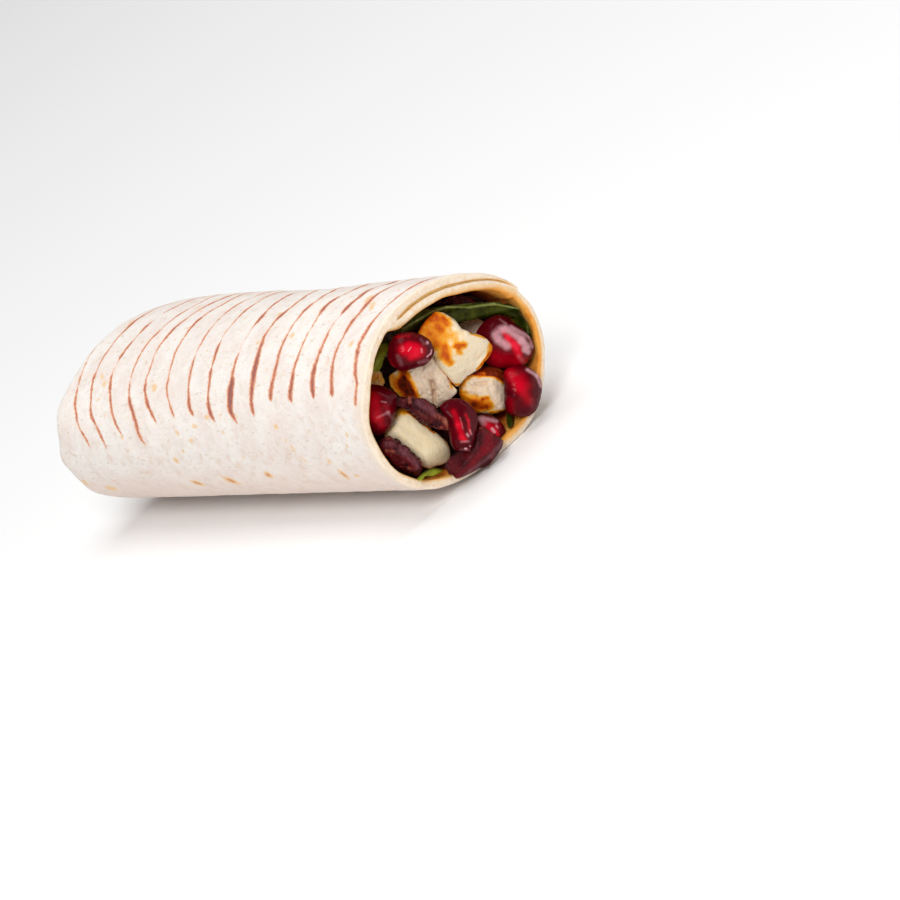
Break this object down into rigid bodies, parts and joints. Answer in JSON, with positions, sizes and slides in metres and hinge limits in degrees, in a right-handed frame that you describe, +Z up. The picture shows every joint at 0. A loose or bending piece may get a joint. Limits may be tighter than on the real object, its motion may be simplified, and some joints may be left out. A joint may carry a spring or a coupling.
{
  "type": "halloumi wrap",
  "caption": "Cut half of a rolled flour tortilla wrap, folded shut at its far end and open at the cut, filled with diced grilled halloumi, pomegranate seeds, beetroot and spinach.",
  "frame": {"origin": "centre of the bounding box at its base, on the surface the wrap lies on", "axes": "+X along the roll towards the cut end, +Z up, +Y across the roll"},
  "size_m": [0.1227, 0.0509, 0.036],
  "materials": {
    "tortilla": "matt baked flour sheet with grill marks",
    "filling_core": "moist, dark, uneven",
    "halloumi": "satin, browned in patches",
    "pomegranate": "wet gloss",
    "beetroot": "moist satin",
    "spinach": "satin leaf"
  },
  "bodies": {
    "root": {"tortilla": "tortilla", "filling_core": "filling_core", "halloumi_1": "halloumi", "halloumi_2": "halloumi", "halloumi_3": "halloumi", "halloumi_4": "halloumi", "halloumi_5": "halloumi", "halloumi_6": "halloumi", "pomegranate_seed_1": "pomegranate", "pomegranate_seed_2": "pomegranate", "pomegranate_seed_3": "pomegranate", "pomegranate_seed_4": "pomegranate", "pomegranate_seed_5": "pomegranate", "pomegranate_seed_6": "pomegranate", "beetroot_1": "beetroot", "beetroot_2": "beetroot", "beetroot_3": "beetroot", "beetroot_4": "beetroot", "beetroot_5": "beetroot", "spinach_1": "spinach", "spinach_2": "spinach", "spinach_3": "spinach", "spinach_4": "spinach", "spinach_5": "spinach"}
  },
  "joints": []
}
